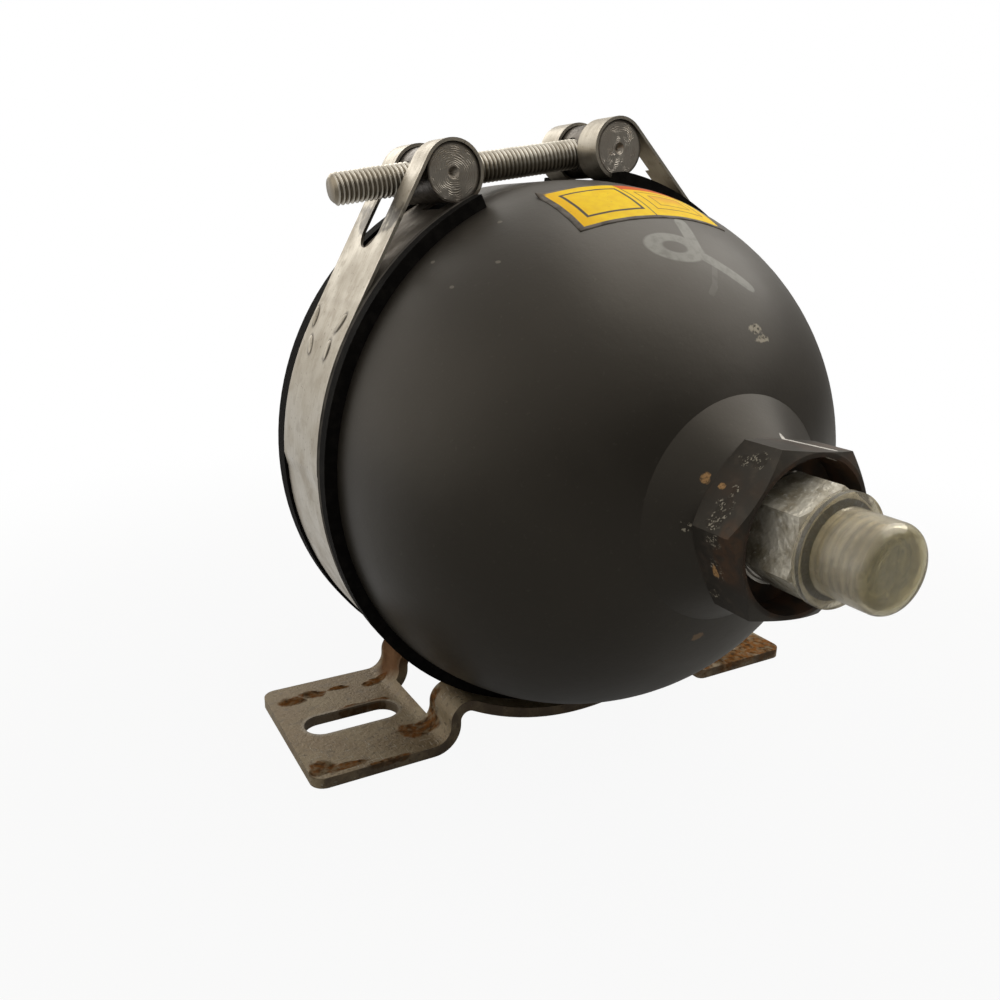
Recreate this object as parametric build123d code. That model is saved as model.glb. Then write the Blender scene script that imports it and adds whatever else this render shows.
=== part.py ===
"""Diaphragm hydraulic accumulator in a strap clamp on a slotted base bracket (millimetres).

The vessel and its clamp are laid out in a bench frame: the vessel axis is Z, the port is up (+Z),
the clamp bolt runs along X and +Y points from the vessel's middle to the bolt.
They are then laid on their side: the port faces -Y, +Z is up, and the feet stand on Z = 0.
"""
from build123d import *
import math
import os

# ---- vessel ----
vessel_r = 72.5          # outer radius of both half shells
barrel_len = 24.0        # straight length between the two domes
wall = 5.0               # shell wall
seam_w = 3.2             # width of the weld at the outside
seam_depth = 2.8         # depth of the weld groove
clamp_turn = 9.5         # degrees that the vessel and clamp are turned in the saddle

# ---- port end ----
neck_root_r = 26.3       # radius where the neck leaves the dome
neck_tip_r = 17.9        # radius where the neck meets the hexagon
port_reach = 16.5        # port face beyond the dome's pole
hex_af = 36.0            # large hexagon across flats
hex_len = 13.5           # length of the large hexagon
hex_turn = 44.0          # degrees, first corner of the large hexagon from +X
bevel_angle = 30.0       # turned bevel on both hexagons
counterbore_r = 17.0
counterbore_depth = 8.5
port_thread_r = 11.0     # tapped bore behind the counterbore
port_thread_depth = 8.0
fluid_hole_r = 5.0

# ---- fitting and its cap ----
fitting_af = 22.0
fitting_hex_len = 14.2
fitting_hex_turn = 13.3  # degrees, first corner of the small hexagon from +X
fitting_nose_r = 8.0
fitting_nose_len = 12.4
fitting_bore_r = 4.0
nose_cone_r = 6.0        # mouth of the sealing cone in the nose
nose_cone_depth = 5.0
seal_thick = 1.5
seal_width = 1.5         # width of both flat seal rings
cap_flange_r = 12.2
cap_flange_thick = 1.8
cap_wall = 1.2
cap_end_space = 1.6      # free space between the nose and the cap's end wall
cap_round = 3.0          # rounding of the cap's end

# ---- gas end ----
gas_boss_margin = 5.0    # boss beyond its thread
gas_boss_reach = 3.0     # boss face beyond the dome's pole
gas_thread_r = 12.0
gas_flange_margin = 2.5  # flange beyond the thread
gas_flange_thick = 4.0
gas_socket_af = 14.0
gas_socket_depth = 5.0
gas_ring_thick = 1.2

# ---- inside ----
skin = 2.5               # diaphragm thickness
bead_h = 6.0             # height of the diaphragm's rim bead
bead_t = 3.9             # thickness of the rim bead
ring_h = 8.0             # height of the clamp ring below the bead
ring_lip = 2.0           # thickness of the lip that holds the bead outward
shell_step = 0.8         # step in the rear shell that carries the clamp ring
button_r = 14.0
button_thick = 2.0
play = 0.1               # clearance of inner pieces
embed = 0.5              # how far joined shapes run into each other
thread_end = 0.5         # free depth past the end of the fitting's thread
fitting_face_edge = 0.4  # flat of the small hexagon short of its sides
rim_w = 1.0              # flat rim round the counterbore

# ---- rubber liner ----
liner_w = 39.5
liner_t = 1.2            # rubber under the strap
lip_h = 2.8              # height of the edge lips above the vessel
lip_play = 0.4           # side clearance between strap and lips
liner_gap = 42.0         # opening of the liner under the bolt

# ---- strap, trunnions and bolt ----
strap_w = 28.0
strap_t = 0.8
trunnion_r = 7.0
trunnion_len = 27.0
trunnion_spread = 50.0   # distance between the trunnion axes
loop_play = 0.25         # between a trunnion and its loop
inner_end = 80.0         # degrees from the bolt side where the inner strap layer ends
joggle = 3.0             # degrees over which the outer layer steps down
bolt_slot_w = 10.5
head_slot_w = 14.0
leg_slot = 24.7          # length of the slot down the straight leg
bolt_r = 4.0
bolt_reach = 27.2        # bolt beyond the axis of the left trunnion
bolt_tip = 1.2           # bevel of the bolt's end
head_r = 6.5
head_len = 8.0
head_socket_af = 6.0
head_socket_depth = 4.0
head_seat = 5.0          # flat for the bolt head, from the trunnion's axis
bolt_play = 0.3
centre_dimple_r = 1.5

# ---- base bracket ----
sheet = 3.0
base_w = 51.4
saddle_clear = 1.7       # free height under the saddle
leg_x = 42.5             # middle of the leg sheet
foot_bend = 6.5          # bend radius at the sheet's middle, foot to leg
crest_bend = 4.0         # bend radius at the sheet's middle, leg to saddle
window_w = 22.6
window_over = 1.0        # window past the outer face of each leg
slot_len = 28.2
slot_w = 10.4
slot_gap = 0.5           # from the foot's bend to the slot
slot_edge = 5.6          # from the slot to the foot's end
foot_corner = 4.0
pad_angle = 24.0         # degrees from straight down to each weld pad
pad_len = 8.0
pad_w = 2.0

# ---- label ----
label_w = 43.0           # round the dome
label_h = 21.6           # toward the port
label_up = 21.5          # degrees from the seam plane to the label's middle, toward the port
label_round = 8.5        # degrees round the axis from +Y toward +X
label_t = 0.15

# ---- values worked out ----
dome_z = barrel_len / 2
bolt_end_x = -trunnion_spread / 2 - bolt_reach
pole_z = dome_z + vessel_r
port_face_z = pole_z + port_reach
hex_back_z = port_face_z - hex_len
floor_z = port_face_z - counterbore_depth
inner_r = vessel_r - wall
inner_pole_z = dome_z + inner_r
strap_in_r = vessel_r + liner_t
strap_out_r = strap_in_r + strap_t
double_out_r = strap_out_r + strap_t
lip_out_r = vessel_r + lip_h
axis_h = lip_out_r + sheet + saddle_clear
slot_x = leg_x + foot_bend + slot_gap + slot_len / 2
foot_reach = slot_x + slot_len / 2 + slot_edge
loop_in_r = trunnion_r + loop_play
loop_out_r = loop_in_r + strap_t
trunnion_dist = strap_out_r + loop_in_r
trunnion_x = trunnion_spread / 2
trunnion_y = math.sqrt(trunnion_dist ** 2 - trunnion_x ** 2)
trunnion_angle = math.degrees(math.atan2(trunnion_y, -trunnion_x))
leg_angle = trunnion_angle + math.degrees(math.acos((double_out_r - loop_out_r) / trunnion_dist))
inner_end_angle = 90 + inner_end
hex_place = Location((0, 0, hex_back_z))
fitting_z = floor_z + seal_thick
nose_z = fitting_z + fitting_hex_len
nose_end_z = nose_z + fitting_nose_len
laid_down = Location((0, 0, axis_h)) * Location((0, 0, 0), (90, 0, 0))
clamp_place = (Location((0, 0, axis_h)) * Location((0, 0, 0), (0, -clamp_turn, 0))
               * Location((0, 0, 0), (90, 0, 0)))


def polar(radius, angle):
    """Point in the bench XY plane at an angle in degrees from +X."""
    return (radius * math.cos(math.radians(angle)), radius * math.sin(math.radians(angle)))


def on_dome(radius, r):
    """Height of a dome of the given radius at the distance r from the axis."""
    return dome_z + math.sqrt(radius ** 2 - r ** 2)


def turned(edges, sweep=360.0):
    """Turn a closed outline, drawn as (radius, height), about the vessel axis."""
    face = Plane.XZ * make_face(edges)
    return revolve(face, axis=Axis.Z, revolution_arc=sweep)


def outline(points):
    """Closed outline of straight edges."""
    return Polyline(*points, close=True)


def tube(r_in, r_out, z0, z1):
    """Plain ring about the vessel axis."""
    ring = Circle(r_out) - Circle(r_in) if r_in > 0 else Circle(r_out)
    return extrude(Pos(0, 0, z0) * ring, amount=z1 - z0)


def bevelled_hex(across_flats, length, turn, face_r):
    """Hexagon bar with turned bevels; face_r is the flat radius at its front face."""
    corner_r = across_flats / math.sqrt(3)
    slope = math.tan(math.radians(bevel_angle))
    back_drop = (corner_r - across_flats / 2) * slope
    front_drop = (corner_r - face_r) * slope
    blank = turned(outline([(0, 0), (across_flats / 2, 0), (corner_r, back_drop),
                            (corner_r, length - front_drop), (face_r, length), (0, length)]))
    prism = extrude(Rot(0, 0, turn) * RegularPolygon(corner_r, 6), amount=length)
    return prism & blank


def dome_shell(outer_r, cavity_r, reach):
    """Half shell from the seam plane: straight barrel, then a dome, with its weld bevel."""
    mid_out = (polar(outer_r, 45)[0], dome_z + polar(outer_r, 45)[1])
    mid_in = (polar(cavity_r, 45)[0], dome_z + polar(cavity_r, 45)[1])
    edges = [Line((cavity_r, 0), (outer_r - seam_depth, 0)),
             Line((outer_r - seam_depth, 0), (outer_r, seam_w / 2)),
             Line((outer_r, seam_w / 2), (outer_r, dome_z)),
             ThreePointArc((outer_r, dome_z), mid_out, (0, dome_z + outer_r)),
             Line((0, dome_z + outer_r), (0, dome_z + cavity_r)),
             ThreePointArc((0, dome_z + cavity_r), mid_in, (cavity_r, dome_z)),
             Line((cavity_r, dome_z), (cavity_r, 0))]
    return turned(edges) + reach


def front_shell():
    """Front half with the forged neck, large hexagon, counterbore and tapped port."""
    root_z = on_dome(vessel_r, neck_root_r)
    inside_z = inner_pole_z + wall / 5
    neck = turned(outline([(0, inside_z), (neck_root_r, inside_z), (neck_root_r, root_z),
                           (neck_tip_r, hex_back_z + embed), (0, hex_back_z + embed)]))
    rim_r = counterbore_r + rim_w
    port_hex = hex_place * bevelled_hex(hex_af, hex_len, hex_turn, rim_r)
    shell = dome_shell(vessel_r, inner_r, neck + port_hex)
    shell -= tube(0, counterbore_r, floor_z, port_face_z + 1)
    shell -= tube(0, port_thread_r, floor_z - port_thread_depth, floor_z + 1)
    shell -= tube(0, fluid_hole_r, dome_z, floor_z)
    return shell


def rear_shell():
    """Rear half with the step for the clamp ring and the boss for the gas screw."""
    face_z = pole_z + gas_boss_reach
    boss = tube(0, gas_thread_r + gas_boss_margin, inner_pole_z + wall / 2, face_z)
    shell = dome_shell(vessel_r, inner_r - shell_step, boss)
    shell -= tube(0, inner_r, -1, ring_h)
    shell -= tube(0, gas_thread_r, dome_z, face_z + 1)
    return Rot(180, 0, 0) * shell


def weld_seam():
    """Weld that fills the groove between the half shells, flush with the barrel."""
    return turned(outline([(vessel_r - seam_depth, 0), (vessel_r, seam_w / 2),
                           (vessel_r, -seam_w / 2)]))


def clamp_ring():
    """Steel ring on the rear shell's step that holds the diaphragm's bead."""
    outer = inner_r - play
    bead_in = outer - bead_t - play
    lip_in = bead_in - ring_lip
    return turned(outline([(outer, -ring_h), (outer, -play), (bead_in, -play), (bead_in, bead_h),
                           (lip_in, bead_h), (lip_in, -ring_h)]))


def diaphragm():
    """Rubber cup pressed against the front dome by the gas, with its rim bead."""
    outer = inner_r - play
    inner = outer - skin
    bead_in = outer - bead_t
    edges = [Line((outer, 0), (outer, dome_z)),
             ThreePointArc((outer, dome_z), (polar(outer, 45)[0], dome_z + polar(outer, 45)[1]),
                           (0, dome_z + outer)),
             Line((0, dome_z + outer), (0, dome_z + inner)),
             ThreePointArc((0, dome_z + inner), (polar(inner, 45)[0], dome_z + polar(inner, 45)[1]),
                           (inner, dome_z)),
             Line((inner, dome_z), (bead_in, bead_h)),
             Line((bead_in, bead_h), (bead_in, 0)),
             Line((bead_in, 0), (outer, 0))]
    return turned(edges) - button_blank(play)


def button_blank(grow):
    """Dished disc that follows the inside of the dome."""
    ball_out = inner_r - play
    ball_in = ball_out - button_thick - grow
    disc = tube(0, button_r + grow, dome_z, inner_pole_z)
    return disc & (Pos(0, 0, dome_z) * (Sphere(ball_out) - Sphere(ball_in)))


def port_fitting():
    """Screw-in fitting: threaded stub, hexagon and coned nose, bored through."""
    stub = tube(0, port_thread_r - play, floor_z - port_thread_depth + thread_end, fitting_z)
    rim = fitting_af / 2 - fitting_face_edge
    body = Pos(0, 0, fitting_z) * bevelled_hex(fitting_af, fitting_hex_len, fitting_hex_turn, rim)
    nose = tube(0, fitting_nose_r, nose_z, nose_end_z)
    cone = turned(outline([(0, nose_end_z), (nose_cone_r, nose_end_z),
                           (fitting_bore_r, nose_end_z - nose_cone_depth),
                           (0, nose_end_z - nose_cone_depth)]))
    bore = tube(0, fitting_bore_r, floor_z - port_thread_depth, nose_end_z + 1)
    return stub + body + nose - cone - bore


def port_seal_ring():
    """Flat seal between the counterbore's floor and the fitting's hexagon."""
    return tube(port_thread_r, port_thread_r + seal_width, floor_z, fitting_z)


def protective_cap():
    """Clear plastic cap: flange, thin cylinder and rounded closed end over the nose."""
    r_in = fitting_nose_r + play
    r_out = r_in + cap_wall
    end_in = nose_end_z + cap_end_space
    end_out = end_in + cap_wall
    body = tube(0, r_out, nose_z, end_out)
    body = fillet(body.edges().sort_by(Axis.Z)[-1], cap_round)
    flange = tube(0, cap_flange_r, nose_z, nose_z + cap_flange_thick)
    hollow = tube(0, r_in, nose_z - 1, end_in)
    hollow = fillet(hollow.edges().sort_by(Axis.Z)[-1], cap_round - cap_wall)
    return body + flange - hollow


def gas_screw():
    """Charging screw in the rear boss: threaded shank, flange and hexagon socket."""
    seat = pole_z + gas_boss_reach + gas_ring_thick
    shank = tube(0, gas_thread_r - play, inner_pole_z, seat)
    flange = tube(0, gas_thread_r + gas_flange_margin, seat, seat + gas_flange_thick)
    socket = extrude(Pos(0, 0, seat + gas_flange_thick - gas_socket_depth)
                     * RegularPolygon(gas_socket_af / math.sqrt(3), 6), amount=gas_socket_depth + 1)
    return Rot(180, 0, 0) * (shank + flange - socket)


def gas_seal_ring():
    """Flat seal ring under the charging screw's flange."""
    face_z = pole_z + gas_boss_reach
    return Rot(180, 0, 0) * tube(gas_thread_r, gas_thread_r + seal_width, face_z, face_z + gas_ring_thick)


def rubber_liner():
    """Rubber band of U section round the seam, open under the bolt."""
    half = liner_w / 2
    groove = strap_w / 2 + lip_play
    edge_r = math.sqrt(vessel_r ** 2 - (half - dome_z) ** 2)
    bow_z = (half + dome_z) / 2
    bow_r = math.sqrt(vessel_r ** 2 - (bow_z - dome_z) ** 2)
    edges = [Line((vessel_r, -dome_z), (vessel_r, dome_z)),
             ThreePointArc((vessel_r, dome_z), (bow_r, bow_z), (edge_r, half)),
             Line((edge_r, half), (lip_out_r, half)),
             Line((lip_out_r, half), (lip_out_r, groove)),
             Line((lip_out_r, groove), (strap_in_r, groove)),
             Line((strap_in_r, groove), (strap_in_r, -groove)),
             Line((strap_in_r, -groove), (lip_out_r, -groove)),
             Line((lip_out_r, -groove), (lip_out_r, -half)),
             Line((lip_out_r, -half), (edge_r, -half)),
             ThreePointArc((edge_r, -half), (bow_r, -bow_z), (vessel_r, -dome_z))]
    half_gap = math.degrees(math.asin(liner_gap / 2 / strap_in_r))
    return Rot(0, 0, 90 + half_gap) * turned(edges, 360 - 2 * half_gap)


def arc_band(centre, r_in, r_out, start, end):
    """Flat ring sector about a centre, from one angle to another in degrees."""
    def at(radius, angle):
        x, y = polar(radius, angle)
        return (centre[0] + x, centre[1] + y)
    middle = (start + end) / 2
    edges = [ThreePointArc(at(r_out, start), at(r_out, middle), at(r_out, end)),
             Line(at(r_out, end), at(r_in, end)),
             ThreePointArc(at(r_in, end), at(r_in, middle), at(r_in, start)),
             Line(at(r_in, start), at(r_out, start))]
    return make_face(edges)


def strap_end():
    """Left end of the strap in section: outer layer, straight leg, loop and inner layer."""
    pivot = (-trunnion_x, trunnion_y)
    tx, ty = pivot
    doubled = arc_band((0, 0), strap_in_r, double_out_r, leg_angle, inner_end_angle)
    inner = arc_band((0, 0), strap_in_r, strap_out_r, trunnion_angle, leg_angle)
    stop = inner_end_angle + joggle
    step = make_face([Line(polar(double_out_r, inner_end_angle), polar(strap_out_r, stop)),
                      Line(polar(strap_out_r, stop), polar(strap_in_r, stop)),
                      ThreePointArc(polar(strap_in_r, stop),
                                    polar(strap_in_r, inner_end_angle + joggle / 2),
                                    polar(strap_in_r, inner_end_angle)),
                      Line(polar(strap_in_r, inner_end_angle), polar(double_out_r, inner_end_angle))])
    top_out = polar(loop_out_r, leg_angle)
    top_in = polar(loop_in_r, leg_angle)
    leg = make_face(Polyline(polar(double_out_r, leg_angle), polar(strap_out_r, leg_angle),
                             (tx + top_in[0], ty + top_in[1]),
                             (tx + top_out[0], ty + top_out[1]), close=True))
    loop = arc_band(pivot, loop_in_r, loop_out_r, leg_angle, trunnion_angle - 180)
    return doubled + inner + step + leg + loop


def slot_cutter(width):
    """Slot in the left end of the strap for the bolt, rounded at its foot in the leg."""
    tx, ty = -trunnion_x, trunnion_y
    across = polar(1, leg_angle)
    down = polar(1, leg_angle + 90)
    start = (tx + across[0] * loop_in_r, ty + across[1] * loop_in_r, 0)
    leg_plane = Plane(origin=start, x_dir=(down[0], down[1], 0), z_dir=(across[0], across[1], 0))
    straight = leg_slot - width / 2
    sketch = Pos(straight / 2, 0) * Rectangle(straight, width) + Pos(straight, 0) * Circle(width / 2)
    leg = extrude(leg_plane * sketch, amount=strap_t * 2, both=True)
    ring = Pos(tx, ty, 0) * Cylinder(loop_out_r + strap_t / 2, width)
    return leg + ring


def clamp_strap():
    """Stainless strap: one band round the vessel with a slotted loop at each end."""
    ends = strap_end()
    ends = ends + mirror(ends, about=Plane.YZ)
    stop = inner_end_angle + joggle
    band = arc_band((0, 0), strap_in_r, strap_out_r, stop, 540 - stop)
    strap = extrude(ends + band, amount=strap_w / 2, both=True)
    strap -= slot_cutter(bolt_slot_w)
    strap -= mirror(slot_cutter(bolt_slot_w), about=Plane.YZ)
    beyond = Pos(trunnion_x + head_seat + head_len, trunnion_y, 0) * Box(
        2 * head_len, 2 * head_r + 1, head_slot_w)
    return strap - beyond


def trunnion(side):
    """Cross barrel in a strap loop, drilled for the bolt, with a centre dimple at each end."""
    bore_r = bolt_r if side < 0 else bolt_r + bolt_play
    barrel = Cylinder(trunnion_r, trunnion_len)
    barrel -= Rot(0, 90, 0) * Cylinder(bore_r, 4 * trunnion_r)
    dimple = Cone(0, centre_dimple_r, centre_dimple_r)
    barrel -= Pos(0, 0, (trunnion_len - centre_dimple_r) / 2) * dimple
    barrel -= Pos(0, 0, -(trunnion_len - centre_dimple_r) / 2) * Rot(180, 0, 0) * dimple
    if side > 0:
        flat = trunnion_r - head_seat
        barrel -= Pos(head_seat + flat / 2, 0, 0) * Box(flat, 2 * trunnion_r, head_slot_w)
    return Pos(side * trunnion_x, trunnion_y, 0) * barrel


def clamp_bolt():
    """Socket head bolt through both trunnions, screwed into the left one."""
    head_x = trunnion_x + head_seat
    along = Pos(0, trunnion_y, 0) * Rot(0, 90, 0)
    shank = Pos(0, 0, bolt_end_x) * extrude(Circle(bolt_r), amount=head_x - bolt_end_x)
    shank = chamfer(shank.edges().sort_by(Axis.Z)[0], bolt_tip)
    head = Pos(0, 0, head_x) * extrude(Circle(head_r), amount=head_len)
    socket = Pos(0, 0, head_x + head_len - head_socket_depth) * extrude(
        RegularPolygon(head_socket_af / math.sqrt(3), 6), amount=head_socket_depth)
    return along * (shank + head - socket)


def bracket_side(offset):
    """One face of the bent sheet, from the left foot's end to the right one, at an offset."""
    saddle_r = lip_out_r + sheet / 2
    foot_y = -axis_h + sheet / 2
    crest_x = leg_x - crest_bend
    crest_y = -math.sqrt((saddle_r + crest_bend) ** 2 - crest_x ** 2)
    crest_angle = math.degrees(math.atan2(-crest_y, crest_x))
    bend_x = leg_x + foot_bend
    bend_y = foot_y + foot_bend
    foot_r = foot_bend - offset
    crest_r = crest_bend + offset
    turn_r = saddle_r - offset
    left = [Line((-foot_reach, foot_y + offset), (-bend_x, foot_y + offset)),
            CenterArc((-bend_x, bend_y), foot_r, -90, 90),
            Line((-bend_x + foot_r, bend_y), (-leg_x - offset, crest_y)),
            CenterArc((-crest_x, crest_y), crest_r, 180, crest_angle - 180)]
    right = [mirror(edge, about=Plane.YZ) for edge in reversed(left)]
    saddle = CenterArc((0, 0), turn_r, 180 + crest_angle, 180 - 2 * crest_angle)
    return left + [saddle] + right


def base_bracket():
    """Pressed bracket: slotted feet, legs and a saddle with an open window under the vessel."""
    upper = bracket_side(sheet / 2)
    lower = bracket_side(-sheet / 2)
    low_y = -axis_h
    ends = [Line((side * foot_reach, low_y), (side * foot_reach, low_y + sheet)) for side in (-1, 1)]
    bracket = extrude(make_face(upper + lower + ends), amount=base_w / 2, both=True)
    corners = bracket.edges().filter_by(Axis.Y).filter_by(lambda e: abs(e.center().X) > foot_reach - 1)
    bracket = fillet(corners, foot_corner)
    bracket -= Box(2 * (leg_x + sheet / 2 + window_over), 4 * vessel_r, window_w)
    for side in (-1, 1):
        hole = Plane.XZ.offset(-low_y - 2 * sheet) * Pos(side * slot_x, 0) * SlotOverall(slot_len, slot_w)
        bracket -= extrude(hole, amount=4 * sheet, both=True)
    for side in (-1, 1):
        for end in (-1, 1):
            bracket += weld_pad(side, end)
    return bracket


def weld_pad(side, end):
    """Pressed pad on a saddle rail that carries the strap."""
    middle = 270 + side * pad_angle
    spread = math.degrees(pad_len / strap_out_r) / 2
    section = arc_band((0, 0), strap_out_r, lip_out_r + sheet / 2, middle - spread, middle + spread)
    start = window_w / 2
    return extrude(Pos(0, 0, start if end > 0 else -start - pad_w) * section, amount=pad_w)


def dome_label():
    """Thin label film on the upper part of the front dome, a rectangle when seen square-on."""
    up = math.radians(label_up)
    side = math.radians(label_round)
    outward = (math.cos(up) * math.sin(side), math.cos(up) * math.cos(side), math.sin(up))
    level = (math.cos(side), -math.sin(side), 0)
    block = extrude(Plane(origin=(0, 0, dome_z), x_dir=level, z_dir=outward)
                    * Rectangle(label_w, label_h), amount=2 * vessel_r)
    film = Sphere(vessel_r + label_t) - Sphere(vessel_r)
    return block & (Pos(0, 0, dome_z) * film)


def build():
    """Every sub-part by node name, in its place."""
    in_clamp = {
        "front_shell": front_shell(),
        "rear_shell": rear_shell(),
        "weld_seam": weld_seam(),
        "clamp_ring": clamp_ring(),
        "diaphragm": diaphragm(),
        "valve_button": button_blank(0),
        "port_fitting": port_fitting(),
        "port_seal_ring": port_seal_ring(),
        "protective_cap": protective_cap(),
        "gas_screw": gas_screw(),
        "gas_seal_ring": gas_seal_ring(),
        "rubber_liner": rubber_liner(),
        "clamp_strap": clamp_strap(),
        "left_trunnion": trunnion(-1),
        "right_trunnion": trunnion(1),
        "clamp_bolt": clamp_bolt(),
        "dome_label": dome_label(),
    }
    nodes = {name: clamp_place * shape for name, shape in in_clamp.items()}
    nodes["base_bracket"] = laid_down * base_bracket()
    return nodes


os.makedirs("parts", exist_ok=True)
for name, shape in build().items():
    export_step(shape, f"parts/{name}.step")
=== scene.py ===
"""Looks of a hydraulic accumulator in a strap clamp on a slotted foot bracket.

Shapes are worked out in millimetres and put into the meshes in metres. The clamp has its own
frame: x across the vessel, y away from the port, z from the vessel's axis to the clamp bolt.
"""
import math

import bpy
import numpy as np
from mathutils import Matrix, Vector


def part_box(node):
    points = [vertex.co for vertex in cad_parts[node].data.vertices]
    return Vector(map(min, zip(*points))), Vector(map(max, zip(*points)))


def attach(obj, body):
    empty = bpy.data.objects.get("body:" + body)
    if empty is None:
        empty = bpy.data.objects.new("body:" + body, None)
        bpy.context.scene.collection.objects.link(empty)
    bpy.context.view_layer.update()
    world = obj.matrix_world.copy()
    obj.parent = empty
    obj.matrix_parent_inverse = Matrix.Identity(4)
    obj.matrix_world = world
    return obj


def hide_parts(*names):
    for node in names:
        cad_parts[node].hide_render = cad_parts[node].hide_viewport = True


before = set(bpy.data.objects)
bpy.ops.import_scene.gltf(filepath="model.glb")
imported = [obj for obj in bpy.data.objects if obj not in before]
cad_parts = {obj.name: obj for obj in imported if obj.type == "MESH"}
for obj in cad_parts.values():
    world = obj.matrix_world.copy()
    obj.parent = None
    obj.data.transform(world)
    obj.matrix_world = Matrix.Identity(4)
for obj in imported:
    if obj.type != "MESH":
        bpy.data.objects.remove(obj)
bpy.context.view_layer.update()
BODY = "root"
MM = 0.001


# ---- places read from the frame, and the clamp's own sizes ----
def box_mm(node):
    """Lowest and highest corner of a node, in millimetres, as arrays."""
    low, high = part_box(node)
    return np.array(low) / MM, np.array(high) / MM


front_low, front_high = box_mm("front_shell")
VESSEL_R = (front_high[0] - front_low[0]) / 2
AXIS_H = front_high[2] - VESSEL_R
DOME_Y = -12.0               # centre of the front dome
NECK_END_Y = -86.5           # where the neck meets the large hexagon
FITTING_NOSE_Y = -110.3      # where the fitting's hexagon ends and its nose starts
NOSE_PITCH = 2.0             # thread of that nose, seen through the cap
LINER_LIP_R = 2.8            # how far the liner's lips stand out of the vessel
CLAMP_TURN = math.radians(-9.5)
STRAP_OUT = 75.3             # outer radius of the doubled strap
TRUNNION_X = 25.0
TRUNNION_Z = 77.83
TRUNNION_R = 7.0
ROD_START = -52.2            # the clamp bolt, from its tip to the underside of its head
ROD_END = 30.0
THREAD_R = 4.0
THREAD_PITCH = 1.25
THREAD_DEPTH = 0.62
TIP_R = 2.75
HEAD_R = 6.5
HEAD_EDGE_R = 6.4            # where the head's bevels meet its side
SOCKET_R = 3.0               # from the middle of the socket to its flats
LEG_ANGLE = math.radians(142.5)
BRACKET_HALF_W = 25.7
SHEET = 3.0                  # thickness of the bracket
SLOT_X = 63.6                # middle of each foot slot
SLOT_R = 5.2                 # half of its width
SLOT_STRAIGHT = 8.9          # half of its straight part


def from_clamp(points):
    """Points of the clamp's frame in the object's frame: turned about y and raised."""
    points = np.asarray(points, float)
    x, y, z = points[..., 0], points[..., 1], points[..., 2]
    c, s = math.cos(CLAMP_TURN), math.sin(CLAMP_TURN)
    return np.stack([x * c + z * s, y, z * c - x * s + AXIS_H], -1)


def clamp_direction(x, y, z):
    """A direction of the clamp's frame, turned into the object's frame."""
    return tuple(from_clamp([x, y, z]) - from_clamp([0, 0, 0]))


# ends of the dashes on the strap: down the strap and across it, at each end
DASH_ENDS = ((-4.6, 12.6, 0.8, 9.8), (3.3, 8.5, 8.0, 4.9),
             (-4.3, -9.2, 0.8, -6.8), (3.0, -6.1, 8.2, -6.7))
DASH_HALF_W = 0.95
DASH_H = 0.62


def on_strap(s, y, height):
    """Point on the strap's left side: s runs down from where the leg meets the round band."""
    bent = np.maximum(s, 0) / STRAP_OUT
    out = np.stack([np.cos(LEG_ANGLE + bent), np.sin(LEG_ANGLE + bent)], -1)
    down = np.array([math.cos(LEG_ANGLE + math.pi / 2), math.sin(LEG_ANGLE + math.pi / 2)])
    flat = out * (STRAP_OUT + height)[..., None] + np.minimum(s, 0)[..., None] * down
    return np.stack([flat[..., 0], y, flat[..., 1]], -1)


def dash_place(ends, margin):
    """Middle, half sizes, long direction and outward direction of a dash, grown by a margin."""
    s0, y0, s1, y1 = ends
    corners = from_clamp(on_strap(np.array([s0, s1]), np.array([y0, y1]), np.zeros(2)))
    middle = (s0 + s1) / 2
    across = np.full(2, (y0 + y1) / 2)
    foot = from_clamp(on_strap(np.full(2, middle), across, np.array([0.0, 1.0])))
    half = math.hypot(s1 - s0, y1 - y0) / 2
    return (tuple(foot[0]), (half + margin, DASH_HALF_W + margin, 3.0),
            tuple(corners[1] - corners[0]), tuple(foot[1] - foot[0]))


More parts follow.
